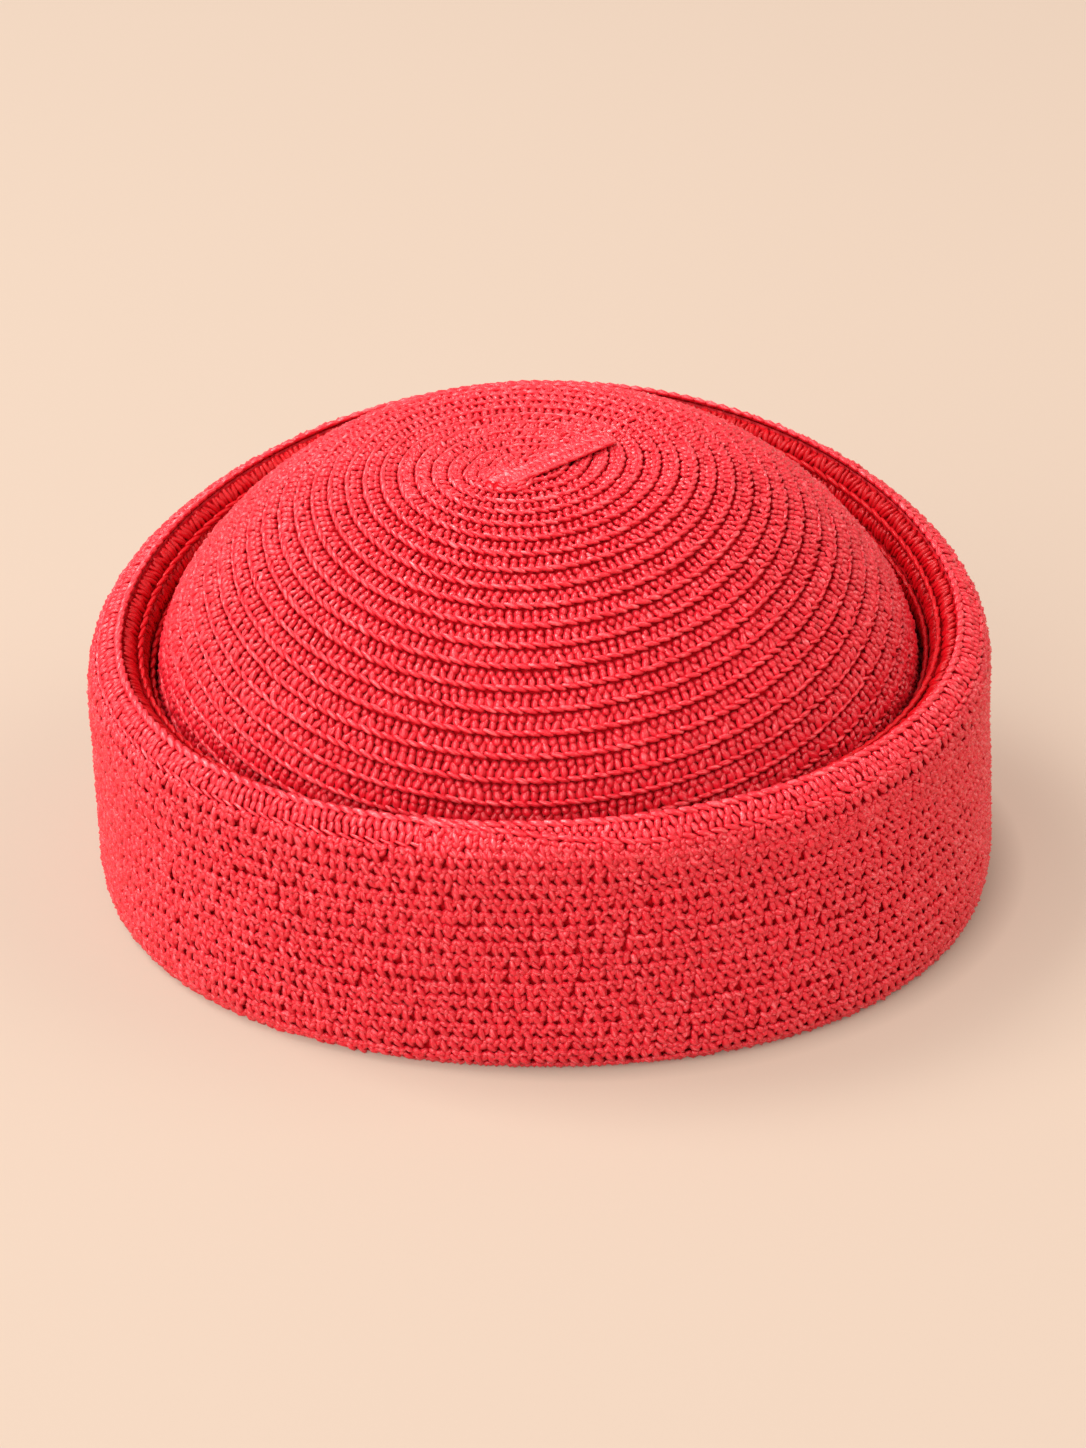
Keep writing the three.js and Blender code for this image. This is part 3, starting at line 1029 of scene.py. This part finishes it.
# Painted shade: low tones on the shaded yarn stand for the shade under the crest.
lots = []
for band in FACING_BANDS:
    lots.append(laid(
        facing_skin.spot(*ring(facing_skin, band["down"], band["spacing"])),
        length=(band["length"], 0.6), width=(1.85, 0.3), height=(1.4, 0.2), turn=(90, 22), tilt=(0, 8),
        lift=(0.4, 0.25), tone=0.45,
    ))
for down in FACING_CORDS:
    lots.append(laid(
        facing_skin.spot(*ring(facing_skin, down, FACING_CORD_SPACING)),
        length=(7.0, 0.5), width=1.35, height=1.4, turn=(-8, 3), lift=0.7, tone=0.6,
    ))
worked("facing_stitches", slim_leaf, gathered(lots), shaded_yarn)

# %% [markdown]
# ## The floor
# The hat stands on a plain pale floor that fills the whole picture, so no backdrop is needed. The
# floor glows a little, as painted light, which keeps the far shadows pale. Near the hat's foot it
# doesn't, which paints the shadow there dark.

# %% Floor
FLOOR_HALF_SIZE = 4
FOOT_CENTRE = (0.007, -0.001, 0)
FOOT_SHRINK = (1 / 0.1065, 1 / 0.097, 0)
FLOOR_LOW, FLOOR_HIGH = (0.335, 0.270, 0.219, 1), (0.355, 0.287, 0.233, 1)
CLOUD_SHARE, GRIT_SHARE = 0.5, 0.3
PAINTED_SHADOW_EDGE, PAINTED_SHADOW_FADE = 0.98, 6.5
PAINTED_SHADOW_COLOUR, PAINTED_LIGHT_COLOUR = (0.04, 0.02, 0.01, 1), (1, 0.76, 0.60, 1)

floor_mesh = bmesh.new()
bmesh.ops.create_grid(floor_mesh, x_segments=4, y_segments=4, size=FLOOR_HALF_SIZE)
mesh = bpy.data.meshes.new("floor")
floor_mesh.to_mesh(mesh)
floor_mesh.free()
paper, paper_shader, tool = new_material("pale_floor")
where = tool.make("ShaderNodeTexCoord", output=3)
cloud = tool.make("ShaderNodeTexNoise", inputs={"Vector": where, "Scale": 3.0, "Detail": 2.0})
grit = tool.make("ShaderNodeTexNoise", inputs={"Vector": where, "Scale": 900.0, "Detail": 1.0})
colour = (cloud * CLOUD_SHARE + grit * GRIT_SHARE).held().mixed(FLOOR_LOW, FLOOR_HIGH)
tool.tree.links.new(colour.socket, paper_shader.inputs["Base Color"])
# Painted shadow: the floor's glow fades out near the hat's foot, centred a little to its right.
from_foot = tool.make("ShaderNodeVectorMath", {"operation": "SUBTRACT"}, {0: where, 1: FOOT_CENTRE})
shrunk = tool.make("ShaderNodeVectorMath", {"operation": "MULTIPLY"}, {0: from_foot, 1: FOOT_SHRINK})
reach = tool.make("ShaderNodeVectorMath", {"operation": "LENGTH"}, {0: shrunk}, output=1)
painted_floor_light = ((reach - PAINTED_SHADOW_EDGE) * PAINTED_SHADOW_FADE).held().mixed(PAINTED_SHADOW_COLOUR, PAINTED_LIGHT_COLOUR)
tool.tree.links.new(painted_floor_light.socket, paper_shader.inputs["Emission Color"])
# Painted light: the floor glows, though it is no lamp.
paper_shader.inputs["Emission Strength"].default_value = 0.34
paper_shader.inputs["Roughness"].default_value = 0.9
paper_shader.inputs["Specular IOR Level"].default_value = 0.1
mesh.materials.append(paper)
floor = bpy.data.objects.new("floor", mesh)
bpy.context.scene.collection.objects.link(floor)
print("floor ready")

# %% [markdown]
# ## The light
# A soft light from the upper left models the stitches. A broad one from the front left lifts their
# shadows, a weak warm one comes from the right, and a pale sky does the rest. Small hard lights would
# show more of the yarn, but the picture of a soft hat would get hard too.

# %% Lights
LIGHT_AIM = (0, 0, 0.06)
LIGHTS = [
    {"name": "key", "place": (-1.3, 0.45, 2.1), "size": 1.1, "power": 47, "colour": (1, 0.98, 0.95)},
    {"name": "front_fill", "place": (-1.6, -1.7, 1.5), "size": 2.4, "power": 55, "colour": (1, 0.97, 0.94)},
    {"name": "right_fill", "place": (1.6, 0.0, 1.7), "size": 1.4, "power": 19, "colour": (1, 0.82, 0.72)},
]
SKY_COLOUR, SKY_STRENGTH = (1, 0.96, 0.91, 1), 0.54


def soft_light(name, place, size, power, colour):
    """A square light that looks at the hat."""
    data = bpy.data.lights.new(name, "AREA")
    data.size = size
    data.energy = power
    data.color = colour
    light = bpy.data.objects.new(name, data)
    bpy.context.scene.collection.objects.link(light)
    light.location = place
    aim = np.array(LIGHT_AIM) - np.array(place)
    flat = math.hypot(aim[0], aim[1])
    light.rotation_euler = (math.atan2(flat, -aim[2]), 0, math.atan2(aim[1], aim[0]) - math.pi / 2)


for light in LIGHTS:
    soft_light(**light)
world = bpy.data.worlds.new("pale_sky")
world.use_nodes = True
sky = world.node_tree.nodes["Background"]
sky.inputs["Color"].default_value = SKY_COLOUR
sky.inputs["Strength"].default_value = SKY_STRENGTH
bpy.context.scene.world = world
bpy.context.scene.view_settings.view_transform = "Standard"
print("lights ready")
